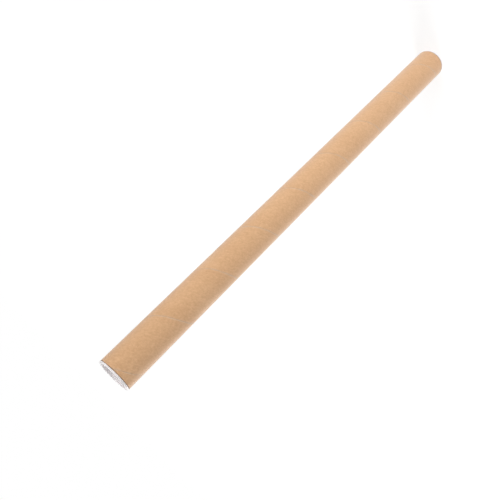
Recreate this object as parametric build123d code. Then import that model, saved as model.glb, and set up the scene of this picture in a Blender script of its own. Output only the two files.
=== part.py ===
from build123d import *
import math
import os

# Cardboard mailing tube with two push-in end plugs. All lengths are in millimetres.
# The tube stands upright on its lower plug: +Z is the tube's axis, and the origin is the
# centre of the lower plug's outer face.

# Wound paper tube
tube_length = 500.0  # cut length of the tube, without the plugs
bore_diameter = 30.0  # clear width inside the tube
tube_wall = 1.5  # thickness of the wound plies together
cut_edge_bevel = 0.2  # worn edge that the cutting wheel leaves on each end

# Spiral butt seam, where neighbouring turns of the outer paper strip meet
ply_width = 51.4  # width of the outer paper strip
seam_width = 0.5  # narrow valley between two turns of the strip
seam_depth = 0.14  # about the thickness of the outer ply
seam_drop = 3.0  # the seam passes the front this far below the top cut

# End plug, a moulded cup that opens outwards
rim_thickness = 1.6  # the rim stays outside and sits on the cut end
rim_face_bevel = 0.3  # outer edge of the rim's face
rim_seat_bevel = 0.2  # outer edge of the rim where it meets the tube
mouth_bevel = 0.25  # inner edge of the rim's face
skirt_length = 12.0  # how deep the cup reaches into the tube
skirt_gap = 0.3  # the skirt stands clear of the bore by this much, on the radius
lead_in_bevel = 0.8  # lets the inner end of the skirt find the bore
plug_wall = 0.6  # wall of the skirt
floor_thickness = 0.9  # closed inner end of the cup
floor_corner_bevel = 0.4  # inside corner between skirt and floor

# Grip rings round the skirt, each a ramp towards the inner end with a square back
fit_clearance = 0.05  # running room between the rings' crests and the bore, on the radius
ring_count = 3
first_ring_depth = 4.0  # crest of the first ring, below the seat of the rim
last_ring_inset = 2.8  # crest of the last ring, above the inner end of the skirt
ring_ramp = 1.5  # from a crest to its ramp's foot, which lies inside the wall

# Moulding gate in the middle of the cup's floor
gate_dimple_diameter = 4.0
gate_dimple_depth = 0.2

# Sizes worked out from the driving values
bore_radius = bore_diameter / 2
tube_radius = bore_radius + tube_wall
lower_seat = rim_thickness
upper_seat = lower_seat + tube_length
circumference = 2 * math.pi * tube_radius
seam_pitch = ply_width * circumference / math.sqrt(circumference**2 - ply_width**2)
crest_radius = bore_radius - fit_clearance
skirt_radius = bore_radius - skirt_gap
recess_radius = skirt_radius - plug_wall
recess_depth = skirt_length - floor_thickness
ring_spacing = (skirt_length - first_ring_depth - last_ring_inset) / (ring_count - 1)


def wound_wall():
    """The plain tube wall with its cut edges taken off."""
    middle = Pos(bore_radius + tube_wall / 2, lower_seat + tube_length / 2)
    section = middle * Rectangle(tube_wall, tube_length)
    section = chamfer(section.vertices(), length=cut_edge_bevel)
    return revolve(Plane.XZ * section, axis=Axis.Z)


def spiral_seam():
    """A right-handed spiral strip, centred on the outer wall, that cuts the seam's valley.

    It crosses the front of the tube, towards -Y, seam_drop below the top cut.
    """
    overrun = 2 * seam_width
    start_height = lower_seat - overrun
    path = Helix(
        pitch=seam_pitch,
        height=tube_length + 2 * overrun,
        radius=tube_radius,
        center=(0, 0, start_height),
    )
    across = Plane(origin=path @ 0, x_dir=(1, 0, 0), z_dir=path % 0)
    strip = sweep(across * Rectangle(2 * seam_depth, seam_width), path=path, is_frenet=True)
    turns_to_front = (upper_seat - seam_drop - start_height) / seam_pitch
    return Rot(0, 0, -90 - 360 * turns_to_front) * strip


def paper_tube():
    """Spirally wound tube with the seam of its outer ply."""
    return wound_wall() - spiral_seam()


def corner_at(radius, height):
    """Picks a section's corner at this radius and height."""
    return lambda corner: math.isclose(corner.X, radius) and math.isclose(corner.Y, height)


def plain_cup_section():
    """Half section of the cup right of its axis. The rim's seat is at height 0, the mouth is up."""
    skirt_tip = (skirt_radius, -skirt_length)
    floor_corner = (recess_radius, -recess_depth)
    rim_seat_edge = (tube_radius, 0)
    rim_face_edge = (tube_radius, rim_thickness)
    mouth = (recess_radius, rim_thickness)
    outline = Polyline(
        (0, -skirt_length),
        skirt_tip,
        (skirt_radius, 0),
        rim_seat_edge,
        rim_face_edge,
        mouth,
        floor_corner,
        (0, -recess_depth),
        close=True,
    )
    section = make_face(outline)
    for corner, bevel in (
        (skirt_tip, lead_in_bevel),
        (rim_seat_edge, rim_seat_bevel),
        (rim_face_edge, rim_face_bevel),
        (mouth, mouth_bevel),
        (floor_corner, floor_corner_bevel),
    ):
        section = chamfer(section.vertices().filter_by(corner_at(*corner)), length=bevel)
    return section


def grip_ring_section(depth):
    """Section of one grip ring with its crest at this depth, rooted in the middle of the wall."""
    root = skirt_radius - plug_wall / 2
    crest = (crest_radius, -depth)
    return make_face(Polyline((root, -depth), crest, (root, -depth - ring_ramp), close=True))


def end_plug():
    """Moulded plug in its own frame: the rim's seat is at height 0, and its mouth faces up."""
    section = plain_cup_section()
    for number in range(ring_count):
        section += grip_ring_section(first_ring_depth + number * ring_spacing)
    cup = revolve(Plane.XZ * section, axis=Axis.Z)
    dimple = Pos(0, 0, -recess_depth) * Cylinder(gate_dimple_diameter / 2, 2 * gate_dimple_depth)
    return cup - dimple


def upper_plug():
    """The plug pushed into the top end."""
    return Pos(0, 0, upper_seat) * end_plug()


def lower_plug():
    """The same plug, turned over and pushed into the bottom end."""
    return Pos(0, 0, lower_seat) * Rot(180, 0, 0) * end_plug()


nodes = {
    "tube": paper_tube(),
    "plug_top": upper_plug(),
    "plug_bottom": lower_plug(),
}

os.makedirs("parts", exist_ok=True)
for name, solid in nodes.items():
    export_step(solid, f"parts/{name}.step")
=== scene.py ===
import math

import bmesh
import bpy
import numpy as np
from mathutils import Matrix, Vector


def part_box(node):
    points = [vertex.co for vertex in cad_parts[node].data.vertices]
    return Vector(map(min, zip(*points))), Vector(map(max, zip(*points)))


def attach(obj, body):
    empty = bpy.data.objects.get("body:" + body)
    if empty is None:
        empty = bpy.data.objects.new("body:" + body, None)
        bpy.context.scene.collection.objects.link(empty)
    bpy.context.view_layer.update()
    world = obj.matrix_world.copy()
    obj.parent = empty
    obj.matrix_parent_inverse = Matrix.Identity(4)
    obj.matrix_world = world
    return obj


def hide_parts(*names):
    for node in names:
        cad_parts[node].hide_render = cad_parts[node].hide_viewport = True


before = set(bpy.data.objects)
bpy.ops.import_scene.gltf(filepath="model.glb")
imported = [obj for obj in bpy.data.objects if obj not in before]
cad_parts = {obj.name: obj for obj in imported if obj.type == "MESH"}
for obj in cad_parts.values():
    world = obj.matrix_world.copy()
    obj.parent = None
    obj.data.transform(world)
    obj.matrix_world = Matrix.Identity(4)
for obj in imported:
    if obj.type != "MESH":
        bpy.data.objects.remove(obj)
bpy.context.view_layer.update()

MM = 0.001

# Distances that count as none, in metres
ON_PLANE = 1e-8
SAME_HEIGHT = 1e-7
ON_AXIS = 1e-9

# Places and sizes read from the frame, in metres
TUBE_LOW, TUBE_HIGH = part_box("tube")
TUBE_BOTTOM = TUBE_LOW.z
TUBE_TOP = TUBE_HIGH.z
TUBE_MIDDLE = (TUBE_BOTTOM + TUBE_TOP) / 2
TUBE_RADIUS = TUBE_HIGH.x
RIM_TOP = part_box("plug_top")[1].z
RIM_THICKNESS = RIM_TOP - TUBE_TOP
SKIRT_LENGTH = TUBE_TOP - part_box("plug_top")[0].z

# Wound tube: a thin brown outer ply over grey board plies
PLY_THICKNESSES = [0.14 * MM, 0.45 * MM, 0.45 * MM, 0.46 * MM]
BORE_RADIUS = TUBE_RADIUS - sum(PLY_THICKNESSES)
SURFACE_PLAY = 0.02 * MM  # how far the paper's slight waves reach under its nominal radius
FRAY = 0.02 * MM  # unevenness of the cut plies
CROWN = 0.2 * MM  # height over which a cut edge rounds off
EDGE_TRIM = 0.25 * MM  # a ring of edges this far behind each crown keeps its shading tight

# Spiral butt seams of the outer ply and of the bore
STRIP_WIDTH = 51.4 * MM
SEAM_DROP = 3.0 * MM  # the outer seam passes the front this far below the top cut
CIRCUMFERENCE = 2 * math.pi * TUBE_RADIUS
SEAM_PITCH = STRIP_WIDTH * CIRCUMFERENCE / math.sqrt(CIRCUMFERENCE**2 - STRIP_WIDTH**2)
SEAM_DEPTH = PLY_THICKNESSES[0]
BORE_SEAM_DEPTH = 0.1 * MM
SEAM_FLOOR = 0.14 * MM  # half width of the gap's bare floor
SEAM_BRINK = 0.40 * MM  # from the seam's middle to where the ply is flat again

# Mesh of a wound sheet: columns in one turn, rows close to the seam, and rows spread between
OUTER_STEPS = 132
OUTER_SEAM_ROWS = [0.0, 0.1, 0.16, 0.22, 0.28, 0.34, 0.4, 0.55, 1.0]  # millimetres from the seam
OUTER_SPREAD_ROWS = 20
BORE_STEPS = 96
BORE_SEAM_ROWS = [0.0, 0.14, 0.27, 0.42, 0.7]  # millimetres from the seam
BORE_SPREAD_ROWS = 8
SPREAD_START = 3.0 * MM  # the spread rows begin this far from the seam

# End plug, a moulded cup
SKIRT_GAP = 0.3 * MM  # the skirt stands clear of the bore
FIT_CLEARANCE = 0.05 * MM  # running room of the grip rings in the bore
PLUG_WALL = 0.6 * MM
FLOOR_THICKNESS = 0.9 * MM
SKIRT_RADIUS = BORE_RADIUS - SKIRT_GAP
CREST_RADIUS = BORE_RADIUS - FIT_CLEARANCE
RECESS_RADIUS = SKIRT_RADIUS - PLUG_WALL
RECESS_DEPTH = SKIRT_LENGTH - FLOOR_THICKNESS
RING_DEPTHS = [9.2 * MM, 6.6 * MM, 4.0 * MM]  # crests of the grip rings, below the rim's seat
RING_RAMP = 0.68 * MM  # from a crest to its ramp's foot
PLUG_SEGMENTS = 160

# Moulding gate in the recess's floor: a dimple with a nub in its middle
DIMPLE_MOUTH_RADIUS = 2.0 * MM
DIMPLE_FLOOR_RADIUS = 1.85 * MM
DIMPLE_DEPTH = 0.2 * MM
NUB_FOOT_RADIUS = 0.65 * MM
NUB_TOP_RADIUS = 0.5 * MM
NUB_DROP = 0.06 * MM  # the nub's top lies this far below the recess's floor

# Camera, fitted to the photograph's view of both ends
CAMERA_STANDOFF = 465.8 * MM  # from the tube's axis, towards -Y
CAMERA_RISE = 47.8 * MM  # above the tube's top cut
CAMERA_AZIMUTH = math.radians(0.72)
CAMERA_ELEVATION = math.radians(24.43)
CAMERA_ROLL = math.radians(-135.0)
CAMERA_LENS = 39.46
CAMERA_SENSOR = 36.0

# Soft lamps: place, point aimed at, power in watts and spread of the beam in degrees
LAMPS = {
    "key": ((0.68, -0.8, 0.75), (0, 0, 0.25), 5.3, 180),
    "rim": ((-0.8, 0.68, 0.75), (0, 0, 0.25), 8.5, 180),
    "side": ((-1.03, -0.18, 0.12), (0, 0, 0.25), 2.9, 180),
    "low_front": ((0, -1.0, 0.16), (0, 0, -0.75), 2.1, 130),
    "low_side": ((0.98, -0.17, 0.16), (0, 0, -0.75), 1.9, 130),
    "overhead": ((0.05, -0.1, 1.7), (0, 0, 0.25), 3.8, 180),
}
LAMP_SIZE = 0.7
AMBIENT = 0.3  # strength of the white world on the object

# White floor
FLOOR_HALF_WIDTH = 8.0
FLOOR_MATT = (0.8, 0.8, 0.8, 1.0)  # what the floor gives back to the object
FLOOR_SHADED = (0.4, 0.4, 0.4, 1.0)  # how strongly the eye sees its shadows
FLOOR_REACH = (0.2, 1.6)  # distances from the tube's foot between which the lamps' light fades
FLOOR_GLOW = (0.65, 0.89)  # what makes the floor white at those distances, and no more


def colour(red, green, blue):
    """A colour given as it shows on screen, 0 to 255, as the linear colour that nodes take."""
    channels = [channel / 255 for channel in (red, green, blue)]
    linear = [c / 12.92 if c <= 0.04045 else ((c + 0.055) / 1.055) ** 2.4 for c in channels]
    return (*linear, 1.0)


# Colours of the outer ply
PULP_DARK = colour(198, 150, 107)
PULP_PALE = colour(232, 190, 147)
FIBRE_DARK = colour(165, 118, 78)
FIBRE_PALE = colour(238, 206, 172)
RUBBED_PAPER = colour(207, 178, 153)
# painted shade where each plug's rim meets the tube, over the cut paper's own slightly darker edge
CUT_EDGE_SHADE = colour(138, 102, 77)

# Colours in the outer seam's gap, in the bore and on the cut ends
# the grey board in the outer seam's gap, painted lighter to offset the shade in the gap
GAP_BOARD_LIGHTENED_DARK = colour(188, 163, 138)
GAP_BOARD_LIGHTENED_PALE = colour(213, 190, 163)
BORE_DARK = colour(150, 132, 108)
BORE_PALE = colour(196, 178, 152)
BORE_SEAM = colour(120, 106, 90)
PLIES_DARK = colour(146, 126, 102)
PLIES_PALE = colour(194, 174, 146)
GLUE = colour(104, 84, 64)
BROWN_PLY_END = colour(138, 102, 74)

# Colours of the end plugs
PLASTIC_DULL = colour(235, 230, 231)
PLASTIC_BRIGHT = colour(242, 238, 238)


def add(tree, kind, inputs=None, **settings):
    """A node with its settings, and each input given a value or linked from a socket."""
    made = tree.nodes.new(kind)
    for name, value in settings.items():
        setattr(made, name, value)
    for name, value in (inputs or {}).items():
        if isinstance(value, bpy.types.NodeSocket):
            tree.links.new(value, made.inputs[name])
        else:
            made.inputs[name].default_value = value
    return made


def math_node(tree, operation, first, second=0.0, clamp=False):
    """The result of one operation on two values or sockets."""
    made = add(tree, "ShaderNodeMath", {0: first, 1: second}, operation=operation, use_clamp=clamp)
    return made.outputs[0]


def mix(tree, factor, first, second):
    """A colour between the first at factor 0 and the second at factor 1."""
    made = add(tree, "ShaderNodeMix", {"Factor": factor}, data_type="RGBA")
    for name, value in (("A", first), ("B", second)):
        socket = [s for s in made.inputs if s.name == name and s.type == "RGBA"][0]
        if isinstance(value, bpy.types.NodeSocket):
            tree.links.new(value, socket)
        else:
            socket.default_value = value
    return [s for s in made.outputs if s.type == "RGBA"][0]


def ramp(tree, value, low, high, to_low=0.0, to_high=1.0):
    """The value's place between low and high, eased and clamped, from to_low to to_high."""
    return add(
        tree,
        "ShaderNodeMapRange",
        {"Value": value, "From Min": low, "From Max": high, "To Min": to_low, "To Max": to_high},
        interpolation_type="SMOOTHSTEP",
    ).outputs["Result"]


def noise(tree, place, detail=2.0, roughness=0.5):
    """Soft noise about 0.5, with grains of about size 1 in the given coordinates."""
    return add(
        tree,
        "ShaderNodeTexNoise",
        {"Vector": place, "Scale": 1.0, "Detail": detail, "Roughness": roughness},
    ).outputs["Fac"]


def attribute(tree, name):
    """A value that the mesh carries at its vertices."""
    return add(tree, "ShaderNodeAttribute", attribute_name=name).outputs["Fac"]


def weighted(tree, terms):
    """The sum of each socket, taken about its middle of 0.5, times its weight."""
    total = 0.0
    for socket, weight in terms:
        centred = math_node(tree, "SUBTRACT", socket, 0.5)
        scaled = math_node(tree, "MULTIPLY", centred, weight)
        total = math_node(tree, "ADD", scaled, total)
    return total


def strip_place(tree, along, across, turn=0.0, shift=0.0):
    """Coordinates on the paper strip for grains of this length and width, turned in degrees."""
    uv = add(tree, "ShaderNodeUVMap", uv_map="strip").outputs["UV"]
    turned = add(tree, "ShaderNodeVectorRotate", {"Vector": uv, "Angle": math.radians(turn)})
    stretch = (1 / along, 1 / across, 1.0)
    scaled = add(
        tree, "ShaderNodeVectorMath", {0: turned.outputs[0], 1: stretch}, operation="MULTIPLY"
    )
    offset = (shift, shift, shift)
    shifted = add(
        tree, "ShaderNodeVectorMath", {0: scaled.outputs[0], 1: offset}, operation="ADD"
    )
    return shifted.outputs[0]


def object_place(tree, grain):
    """Texture coordinates in the object's own space, for grains of this size."""
    place = add(tree, "ShaderNodeTexCoord").outputs["Object"]
    scaled = add(
        tree, "ShaderNodeVectorMath", {0: place, "Scale": 1 / grain}, operation="SCALE"
    )
    return scaled.outputs[0]


def new_material(name):
    """A node material with a Principled shader, as (material, tree, shader)."""
    material = bpy.data.materials.new(name)
    material.use_nodes = True
    tree = material.node_tree
    tree.nodes.clear()
    shader = add(tree, "ShaderNodeBsdfPrincipled")
    add(tree, "ShaderNodeOutputMaterial", {"Surface": shader.outputs["BSDF"]})
    return material, tree, shader


def connect(tree, shader, base, roughness, height, bump_strength, bump_distance):
    """Links the shader's colour, its roughness and its bump."""
    bump = add(
        tree,
        "ShaderNodeBump",
        {"Height": height, "Strength": bump_strength, "Distance": bump_distance},
    )
    tree.links.new(base, shader.inputs["Base Color"])
    tree.links.new(roughness, shader.inputs["Roughness"])
    tree.links.new(bump.outputs["Normal"], shader.inputs["Normal"])


def paper_fibres(tree, shift=0.0):
    """Fibres in two layers that cross, turned 32 and 35 degrees from the strip's length."""
    left_place = strip_place(tree, 2.0 * MM, 0.4 * MM, turn=32, shift=shift)
    left = noise(tree, left_place, detail=3.0, roughness=0.6)
    right_place = strip_place(tree, 2.2 * MM, 0.45 * MM, turn=-35, shift=shift + 40)
    right = noise(tree, right_place, detail=3.0, roughness=0.6)
    return left, right


def brown_pulp(tree, clouds, flocs, left, right):
    """The paper's own colour: mottled pulp with a few dark and a few pale fibres."""
    patches = noise(tree, strip_place(tree, 45 * MM, 20 * MM, shift=11))
    streaks = noise(tree, strip_place(tree, 60 * MM, 1.1 * MM, shift=23))
    tone = weighted(
        tree,
        [(clouds, 0.4), (patches, 0.3), (left, 0.45), (right, 0.45), (flocs, 0.8), (streaks, 0.15)],
    )
    level = math_node(tree, "ADD", tone, 0.5, clamp=True)
    base = mix(tree, level, PULP_DARK, PULP_PALE)
    dark_place = strip_place(tree, 1.3 * MM, 0.18 * MM, turn=8, shift=71)
    dark_fibres = noise(tree, dark_place, detail=1.0)
    base = mix(tree, ramp(tree, dark_fibres, 0.70, 0.78), base, FIBRE_DARK)
    pale_place = strip_place(tree, 1.6 * MM, 0.2 * MM, turn=-9, shift=93)
    pale_fibres = noise(tree, pale_place, detail=1.0)
    return mix(tree, ramp(tree, pale_fibres, 0.72, 0.80), base, FIBRE_PALE)


def worn_seam_and_lightened_gap(tree, base, clouds, flocs):
    """The paper rubbed pale beside the seam, and the grey board in its gap painted lighter to
    offset the gap's shade, both in patches.
    """
    across = add(tree, "ShaderNodeSeparateXYZ", {"Vector": strip_place(tree, 1, 1)}).outputs["Y"]
    from_far_edge = math_node(tree, "SUBTRACT", STRIP_WIDTH, across)
    from_seam = math_node(tree, "MINIMUM", across, from_far_edge)
    patchy = ramp(tree, clouds, 0.36, 0.6, to_low=0.3)
    rubbed = ramp(tree, from_seam, 0.8 * MM, 1.9 * MM, to_low=0.24, to_high=0.0)
    base = mix(tree, math_node(tree, "MULTIPLY", rubbed, patchy), base, RUBBED_PAPER)
    # The gap's grey board is painted lighter than it is, to offset the gap's shade.
    lightened_board = mix(tree, flocs, GAP_BOARD_LIGHTENED_DARK, GAP_BOARD_LIGHTENED_PALE)
    return mix(tree, math_node(tree, "MULTIPLY", attribute(tree, "seam"), patchy), base, lightened_board)


def cut_edges_with_painted_shade(tree, base, clouds):
    """The paper darkened unevenly along both cut edges: painted shade of the joint with each plug's
    rim, over the cut paper's own slightly darker edge.
    """
    place = add(tree, "ShaderNodeTexCoord").outputs["Object"]
    height_up = add(tree, "ShaderNodeSeparateXYZ", {"Vector": place}).outputs["Z"]
    from_middle = math_node(tree, "ABSOLUTE", math_node(tree, "SUBTRACT", height_up, TUBE_MIDDLE))
    half_length = TUBE_TOP - TUBE_MIDDLE
    starts = half_length - 0.85 * MM
    fully_dark = half_length - 0.25 * MM
    # The painted shade grows towards each cut end and varies in patches.
    edge = ramp(tree, from_middle, starts, fully_dark)
    shade_patchiness = ramp(tree, clouds, 0.25, 0.6, to_low=0.55)
    return mix(tree, math_node(tree, "MULTIPLY", edge, shade_patchiness), base, CUT_EDGE_SHADE)


def brown_paper():
    """The outer ply: soft brown paper worn at its seam, with the gap's board painted lighter
    against its shade and painted shade at its darker cut edges.
    """
    material, tree, shader = new_material("brown_paper")
    clouds = noise(tree, strip_place(tree, 7 * MM, 4.5 * MM), detail=3.0)
    flocs = noise(tree, strip_place(tree, 2.4 * MM, 1.7 * MM, shift=5), roughness=0.6)
    left, right = paper_fibres(tree)
    base = brown_pulp(tree, clouds, flocs, left, right)
    base = worn_seam_and_lightened_gap(tree, base, clouds, flocs)
    base = cut_edges_with_painted_shade(tree, base, clouds)
    height = weighted(tree, [(left, 0.5), (right, 0.5), (flocs, 0.6), (clouds, 0.3)])
    roughness = ramp(tree, left, 0.2, 0.8, to_low=0.58, to_high=0.74)
    connect(tree, shader, base, roughness, height, bump_strength=0.4, bump_distance=0.06 * MM)
    shader.inputs["Specular IOR Level"].default_value = 0.1
    shader.inputs["Sheen Weight"].default_value = 0.55
    shader.inputs["Sheen Roughness"].default_value = 0.5
    return material


def grey_board(name, dark, pale):
    """Recycled grey board, mottled with darker and paler bits of pulp."""
    material, tree, shader = new_material(name)
    clouds = noise(tree, object_place(tree, 3.5 * MM), detail=3.0)
    bits = noise(tree, object_place(tree, 0.5 * MM), detail=3.0, roughness=0.65)
    tone = weighted(tree, [(clouds, 0.6), (bits, 0.9)])
    level = math_node(tree, "ADD", tone, 0.5, clamp=True)
    return material, tree, shader, mix(tree, level, dark, pale), bits


def bore_board():
    """The inner ply's grey-brown face, with its own seam."""
    material, tree, shader, base, bits = grey_board("bore_board", BORE_DARK, BORE_PALE)
    left, right = paper_fibres(tree, shift=17)
    base = mix(tree, attribute(tree, "seam"), base, BORE_SEAM)
    height = weighted(tree, [(left, 0.6), (right, 0.6), (bits, 0.5)])
    roughness = ramp(tree, bits, 0.2, 0.8, to_low=0.8, to_high=0.95)
    connect(tree, shader, base, roughness, height, bump_strength=0.5, bump_distance=0.08 * MM)
    shader.inputs["Specular IOR Level"].default_value = 0.25
    return material


def cut_plies():
    """The cut ends of the plies: grey board with dark glue lines, and the brown ply outside."""
    material, tree, shader, base, bits = grey_board("cut_plies", PLIES_DARK, PLIES_PALE)
    base = mix(tree, attribute(tree, "glue"), base, GLUE)
    base = mix(tree, attribute(tree, "brown"), base, BROWN_PLY_END)
    roughness = ramp(tree, bits, 0.2, 0.8, to_low=0.85, to_high=0.95)
    connect(tree, shader, base, roughness, bits, bump_strength=0.6, bump_distance=0.1 * MM)
    shader.inputs["Specular IOR Level"].default_value = 0.2
    return material


def white_plastic():
    """Moulded polyethylene: satin, a little waxy, with faint flow clouds and a fine grain."""
    material, tree, shader = new_material("white_polyethylene")
    clouds = noise(tree, object_place(tree, 5 * MM))
    grain = noise(tree, object_place(tree, 0.22 * MM))
    base = mix(tree, clouds, PLASTIC_DULL, PLASTIC_BRIGHT)
    roughness = ramp(tree, clouds, 0.3, 0.7, to_low=0.34, to_high=0.44)
    connect(tree, shader, base, roughness, grain, bump_strength=0.25, bump_distance=0.015 * MM)
    shader.inputs["Subsurface Weight"].default_value = 0.2
    shader.inputs["Subsurface Radius"].default_value = (1.0, 0.9, 0.9)
    shader.inputs["Subsurface Scale"].default_value = 0.6 * MM
    shader.inputs["IOR"].default_value = 1.5
    return material


def strip_rows(seam_rows, spread_count):
    """Places across one turn of a strip, close together at its seam and evenly spread between."""
    near = np.array(seam_rows) * MM
    spread = np.linspace(SPREAD_START, SEAM_PITCH - SPREAD_START, spread_count)
    return [float(row) for row in np.concatenate([near, spread, SEAM_PITCH - near[::-1]])]


def seam_share(distance, looseness):
    """1 on the bare floor of the gap, 0 where the ply is flat, by the distance from the seam."""
    floor = SEAM_FLOOR * looseness
    brink = SEAM_BRINK * looseness
    place = min(max((brink - distance) / (brink - floor), 0.0), 1.0)
    return place * place * (3 - 2 * place)


def sheet_point(row, angle, start, radius, outward, depth):
    """(x, y, z, seam share) of a point on a wound sheet.

    The gap is wider in some places than in others, and the sheet has slow, slight waves.
    """
    looseness = 0.95 + 0.3 * math.sin(0.37 * angle) * math.sin(1.13 * angle + 1.0)
    share = seam_share(min(row, SEAM_PITCH - row), looseness)
    waves = math.sin(6 * math.pi * row / SEAM_PITCH + 0.2 * angle)
    waves += math.sin(2 * math.pi * row / SEAM_PITCH - 0.53 * angle)
    relief = depth * share + SURFACE_PLAY * (0.5 + 0.25 * waves)
    reach = radius - outward * relief
    return reach * math.cos(angle), reach * math.sin(angle), start + row, share


def sheet_column(mesh, step, radius, front_height, rows, steps, outward, depth):
    """The vertices of a wound sheet at one step round it, from its seam to just below the next."""
    seam = mesh.verts.layers.float["seam"]
    angle = -math.pi / 2 + 2 * math.pi * step / steps
    start = front_height + SEAM_PITCH * step / steps
    column = []
    for row in rows[:-1]:
        x, y, z, share = sheet_point(row, angle, start, radius, outward, depth)
        vertex = mesh.verts.new((x, y, z))
        vertex[seam] = share
        column.append(vertex)
    return column


def wound_sheet(mesh, radius, front_height, rows, steps, outward, depth, material):
    """One sheet of paper wound edge to edge, longer than the tube. Turns share their edges.

    Its seam passes the front, towards -Y, at front_height. outward is 1, or -1 in the bore.
    Returns the new faces.
    """
    uv = mesh.loops.layers.uv["strip"]
    first = -(math.ceil((front_height - TUBE_BOTTOM) / SEAM_PITCH) + 1) * steps
    last = (math.ceil((TUBE_TOP - front_height) / SEAM_PITCH) + 1) * steps
    columns = [
        sheet_column(mesh, step, radius, front_height, rows, steps, outward, depth)
        for step in range(first, last + steps + 1)
    ]
    slope = math.atan2(SEAM_PITCH, 2 * math.pi * radius)
    step_length = 2 * math.pi * radius / steps / math.cos(slope)
    faces = []
    for index in range(last - first):
        behind = columns[index] + columns[index + steps][:1]
        ahead = columns[index + 1] + columns[index + steps + 1][:1]
        for number, (row, row_up) in enumerate(zip(rows, rows[1:])):
            corners = [
                (behind[number], index, row),
                (ahead[number], index + 1, row),
                (ahead[number + 1], index + 1, row_up),
                (behind[number + 1], index, row_up),
            ]
            if outward < 0:
                corners.reverse()
            face = mesh.faces.new([vertex for vertex, _, _ in corners])
            face.smooth = True
            face.material_index = material
            for loop, (_, step, axial) in zip(face.loops, corners):
                along = step * step_length + axial * math.sin(slope)
                loop[uv].uv = (along, axial * math.cos(slope))
            faces.append(face)
    # The columns past the last face lend only their seam to the turn below
    for column in columns[last - first:]:
        for vertex in column:
            if not vertex.link_faces:
                mesh.verts.remove(vertex)
    return faces


def parts_of(faces):
    """The faces with their edges and vertices, each once and in the same order on every run."""
    edges = dict.fromkeys(edge for face in faces for edge in face.edges)
    verts = dict.fromkeys(vert for face in faces for vert in face.verts)
    return [*verts, *edges, *faces]


def slice_at(mesh, geometry, height, side, clear):
    """Cuts the geometry at a height and returns what is left. clear drops what lies beyond it."""
    result = bmesh.ops.bisect_plane(
        mesh,
        geom=geometry,
        dist=ON_PLANE,
        plane_co=(0, 0, height),
        plane_no=(0, 0, side),
        clear_outer=clear,
    )
    return [part for part in result["geom"] if part.is_valid]


def open_ring(mesh, height, outer):
    """The vertices of a sheet's open edge at a height, in order round the axis."""
    split = (BORE_RADIUS + TUBE_RADIUS) / 2
    ring = {
        vertex
        for edge in mesh.edges
        if edge.is_boundary
        for vertex in edge.verts
        if abs(vertex.co.z - height) < SAME_HEIGHT and (vertex.co.xy.length > split) == outer
    }
    return sorted(ring, key=lambda vertex: math.atan2(vertex.co.y, vertex.co.x))


def end_profile():
    """(radius, depth below the cut, glue, brown) of each ring over a cut end, from the outside."""
    brown_ply = PLY_THICKNESSES[0]
    lip = 0.06 * MM  # from a glue line to where the ply's end is nearly level
    rings = [
        (TUBE_RADIUS - 0.05 * MM, 0.09 * MM, 0.0, 1.0),
        (TUBE_RADIUS - 0.8 * brown_ply, 0.02 * MM, 0.0, 1.0),
    ]
    outer = TUBE_RADIUS - brown_ply
    for thickness in PLY_THICKNESSES[1:]:
        rings += [
            (outer, 0.05 * MM, 1.0, 0.5),
            (outer - lip, 0.01 * MM, 0.1, 0.0),
            (outer - thickness / 2, 0.0, 0.0, 0.0),
            (outer - thickness + lip, 0.01 * MM, 0.1, 0.0),
        ]
        outer -= thickness
    rings.append((BORE_RADIUS + 0.03 * MM, 0.08 * MM, 0.0, 0.0))
    return rings


def cap_end(mesh, top):
    """Joins the outer sheet to the bore sheet over one cut end, ply by ply."""
    side = 1 if top else -1
    cut = TUBE_TOP if top else TUBE_BOTTOM
    glue_layer = mesh.verts.layers.float["glue"]
    brown_layer = mesh.verts.layers.float["brown"]
    outer_ring = open_ring(mesh, cut - side * CROWN, outer=True)
    bore_ring = open_ring(mesh, cut - side * CROWN, outer=False)
    for vertex in outer_ring:
        vertex[brown_layer] = 1.0
    angles = [math.atan2(vertex.co.y, vertex.co.x) for vertex in outer_ring]
    rings = [outer_ring]
    for radius, depth, glue, brown in end_profile():
        ring = []
        for angle in angles:
            fray = FRAY * math.sin(17 * angle + 4000 * radius / TUBE_RADIUS) ** 2
            height = cut - side * (depth + fray)
            vertex = mesh.verts.new((radius * math.cos(angle), radius * math.sin(angle), height))
            vertex[glue_layer] = glue
            vertex[brown_layer] = brown
            ring.append(vertex)
        rings.append(ring)
    faces = []
    for outside, inside in zip(rings, rings[1:]):
        for index in range(len(angles)):
            before = index - 1
            corners = [outside[before], outside[index], inside[index], inside[before]]
            faces.append(mesh.faces.new(corners if top else corners[::-1]))
    edges = []
    for ring in (rings[-1], bore_ring):
        edges += [mesh.edges.get((ring[i - 1], ring[i])) for i in range(len(ring))]
    faces += bmesh.ops.bridge_loops(mesh, edges=edges)["faces"]
    for face in faces:
        face.smooth = True
        face.material_index = 1


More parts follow.
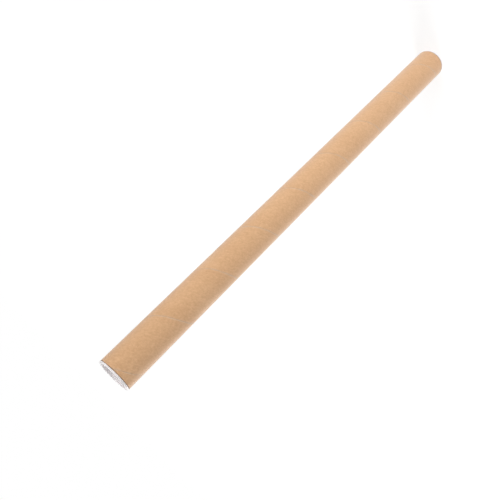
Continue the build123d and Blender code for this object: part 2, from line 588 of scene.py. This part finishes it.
def tube_mesh():
    """The wound tube. Its materials are 0 outside, 1 on the cut plies and 2 in the bore."""
    mesh = bmesh.new()
    mesh.loops.layers.uv.new("strip")
    for name in ("seam", "glue", "brown"):
        mesh.verts.layers.float.new(name)
    front = TUBE_TOP - SEAM_DROP
    bore_front = front - SEAM_PITCH / 2
    outer_rows = strip_rows(OUTER_SEAM_ROWS, OUTER_SPREAD_ROWS)
    bore_rows = strip_rows(BORE_SEAM_ROWS, BORE_SPREAD_ROWS)
    for radius, height, rows, steps, outward, depth, material in (
        (TUBE_RADIUS, front, outer_rows, OUTER_STEPS, 1, SEAM_DEPTH, 0),
        (BORE_RADIUS, bore_front, bore_rows, BORE_STEPS, -1, BORE_SEAM_DEPTH, 2),
    ):
        faces = wound_sheet(mesh, radius, height, rows, steps, outward, depth, material)
        geometry = parts_of(faces)
        for cut, side in ((TUBE_TOP, 1), (TUBE_BOTTOM, -1)):
            crown = cut - side * CROWN
            trim = cut - side * (CROWN + EDGE_TRIM)
            geometry = slice_at(mesh, geometry, crown, side, clear=True)
            geometry = slice_at(mesh, geometry, trim, side, clear=False)
    cap_end(mesh, top=True)
    cap_end(mesh, top=False)
    return mesh


def rounded(corners, steps=6):
    """A profile whose corners, given as (radius, height, size of the round), become arcs."""
    points = []
    last = len(corners) - 1
    for index, (x, y, size) in enumerate(corners):
        here = Vector((x, y))
        if index in (0, last):
            points.append(here)
            continue
        before = (Vector(corners[index - 1][:2]) - here).normalized()
        after = (Vector(corners[index + 1][:2]) - here).normalized()
        half = before.angle(after) / 2
        centre = here + (before + after).normalized() * (size / math.sin(half))
        reach = size / math.tan(half)
        first = here + before * reach - centre
        final = here + after * reach - centre
        sweep = math.atan2(first.cross(final), first.dot(final))
        for step in range(steps + 1):
            angle = sweep * step / steps
            turned = (
                first.x * math.cos(angle) - first.y * math.sin(angle),
                first.x * math.sin(angle) + first.y * math.cos(angle),
            )
            points.append(centre + Vector(turned))
    return points


def plug_profile():
    """Half outline of the cup, from the middle of its inner end to the middle of its recess.

    The third number of each corner is the size of its round.
    """
    corners = [(0, -SKIRT_LENGTH, 0), (SKIRT_RADIUS, -SKIRT_LENGTH, 0.9 * MM)]
    for depth in RING_DEPTHS:
        corners += [
            (SKIRT_RADIUS, -depth - RING_RAMP, 0.2 * MM),
            (CREST_RADIUS, -depth, 0.06 * MM),
            (SKIRT_RADIUS, -depth, 0.06 * MM),
        ]
    dimple_floor = -RECESS_DEPTH - DIMPLE_DEPTH
    nub_top = -RECESS_DEPTH - NUB_DROP
    corners += [
        (SKIRT_RADIUS, 0, 0.12 * MM),
        (TUBE_RADIUS, 0, 0.2 * MM),
        (TUBE_RADIUS, RIM_THICKNESS, 0.35 * MM),
        (RECESS_RADIUS, RIM_THICKNESS, 0.3 * MM),
        (RECESS_RADIUS, -RECESS_DEPTH, 0.5 * MM),
        (DIMPLE_MOUTH_RADIUS, -RECESS_DEPTH, 0.06 * MM),
        (DIMPLE_FLOOR_RADIUS, dimple_floor, 0.06 * MM),
        (NUB_FOOT_RADIUS, dimple_floor, 0.03 * MM),
        (NUB_TOP_RADIUS, nub_top, 0.05 * MM),
        (0, nub_top, 0),
    ]
    return rounded(corners)


def lathed(profile, segments):
    """A closed mesh turned from a profile that starts and ends on the axis."""
    mesh = bmesh.new()
    turns = [2 * math.pi * i / segments for i in range(segments)]
    rings = []
    for point in profile:
        if point.x < ON_AXIS:
            rings.append([mesh.verts.new((0, 0, point.y))] * segments)
            continue
        ring = []
        for turn in turns:
            place = (point.x * math.cos(turn), point.x * math.sin(turn), point.y)
            ring.append(mesh.verts.new(place))
        rings.append(ring)
    for lower, upper in zip(rings, rings[1:]):
        for index in range(segments):
            after = (index + 1) % segments
            corners = [lower[index], lower[after], upper[after], upper[index]]
            # Beside the axis two of the corners are one, and the face is a triangle
            face = mesh.faces.new(list(dict.fromkeys(corners)))
            face.smooth = True
    return mesh


def to_object(mesh, name, materials):
    """An object in the scene made from a bmesh, which is freed."""
    data = bpy.data.meshes.new(name)
    mesh.to_mesh(data)
    mesh.free()
    for material in materials:
        data.materials.append(material)
    made = bpy.data.objects.new(name, data)
    bpy.context.scene.collection.objects.link(made)
    return made


def dress(piece, node):
    """The piece rides on the body of this name and hides the CAD node."""
    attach(piece, node)
    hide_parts(node)


def build_tube():
    """The wound paper tube."""
    materials = [brown_paper(), cut_plies(), bore_board()]
    tube = to_object(tube_mesh(), "wound_tube", materials)
    dress(tube, "tube")


def build_plugs():
    """Both end plugs, each built with its rim's seat at height 0 and then put in its end."""
    plastic = white_plastic()
    upright = Matrix.Translation((0, 0, TUBE_TOP))
    upended = Matrix.Translation((0, 0, TUBE_BOTTOM)) @ Matrix.Rotation(math.pi, 4, "X")
    for node, place in (("plug_top", upright), ("plug_bottom", upended)):
        mesh = lathed(plug_profile(), PLUG_SEGMENTS)
        bmesh.ops.transform(mesh, matrix=place, verts=mesh.verts[:])
        plug = to_object(mesh, "moulded_" + node, [plastic])
        dress(plug, node)


def background_rays(tree):
    """1 for the rays that show the background itself: seen, mirrored or passed through glass."""
    path = add(tree, "ShaderNodeLightPath").outputs
    mirrored = math_node(tree, "ADD", path["Is Camera Ray"], path["Is Glossy Ray"])
    return math_node(tree, "ADD", mirrored, path["Is Transmission Ray"], clamp=True)


def white_floor():
    """A floor that is white to the eye but keeps the object's shadow."""
    material = bpy.data.materials.new("white_floor")
    material.use_nodes = True
    tree = material.node_tree
    tree.nodes.clear()
    seen = background_rays(tree)
    matt = add(tree, "ShaderNodeBsdfDiffuse", {"Color": mix(tree, seen, FLOOR_MATT, FLOOR_SHADED)})
    place = add(tree, "ShaderNodeTexCoord").outputs["Object"]
    from_foot = add(tree, "ShaderNodeVectorMath", {0: place}, operation="LENGTH").outputs["Value"]
    glow_here = ramp(tree, from_foot, *FLOOR_REACH, *FLOOR_GLOW)
    strength = math_node(tree, "MULTIPLY", seen, glow_here)
    glow = add(tree, "ShaderNodeEmission", {"Color": (1, 1, 1, 1), "Strength": strength})
    both = add(tree, "ShaderNodeAddShader", {0: matt.outputs[0], 1: glow.outputs[0]})
    add(tree, "ShaderNodeOutputMaterial", {"Surface": both.outputs[0]})
    return material


def build_floor():
    """A level floor under the lower plug."""
    mesh = bmesh.new()
    bmesh.ops.create_grid(mesh, x_segments=1, y_segments=1, size=FLOOR_HALF_WIDTH)
    to_object(mesh, "floor", [white_floor()])


def build_world():
    """A world that is white to the eye and lights the object softly from all round."""
    world = bpy.data.worlds.new("studio")
    bpy.context.scene.world = world
    world.use_nodes = True
    tree = world.node_tree
    tree.nodes.clear()
    seen = background_rays(tree)
    strength = add(tree, "ShaderNodeMapRange", {"Value": seen, "To Min": AMBIENT, "To Max": 1.0})
    background = add(
        tree,
        "ShaderNodeBackground",
        {"Color": (1, 1, 1, 1), "Strength": strength.outputs["Result"]},
    )
    add(tree, "ShaderNodeOutputWorld", {"Surface": background.outputs["Background"]})


def light_scene():
    """The soft lamps, which the camera doesn't see."""
    for name, (place, aim, power, spread) in LAMPS.items():
        lamp = bpy.data.lights.new(name, "AREA")
        lamp.shape = "DISK"
        lamp.size = LAMP_SIZE
        lamp.energy = power
        lamp.spread = math.radians(spread)
        made = bpy.data.objects.new(name, lamp)
        made.location = place
        made.rotation_euler = (Vector(aim) - Vector(place)).to_track_quat("-Z", "Y").to_euler()
        made.visible_camera = False
        bpy.context.scene.collection.objects.link(made)


def place_camera():
    """The photograph's view: close to the top plug, looking down along the tube, rolled over."""
    lens = bpy.data.cameras.new("camera")
    lens.lens = CAMERA_LENS
    lens.sensor_width = CAMERA_SENSOR
    lens.clip_start = 10 * MM
    camera = bpy.data.objects.new("camera", lens)
    turn = (
        Matrix.Rotation(CAMERA_AZIMUTH, 4, "Z")
        @ Matrix.Rotation(math.pi / 2 - CAMERA_ELEVATION, 4, "X")
        @ Matrix.Rotation(CAMERA_ROLL, 4, "Z")
    )
    camera.matrix_world = Matrix.Translation((0, -CAMERA_STANDOFF, TUBE_TOP + CAMERA_RISE)) @ turn
    bpy.context.scene.collection.objects.link(camera)
    bpy.context.scene.camera = camera


place_camera()
light_scene()
build_floor()
build_world()
build_tube()
build_plugs()

bpy.context.scene.view_settings.view_transform = "Standard"
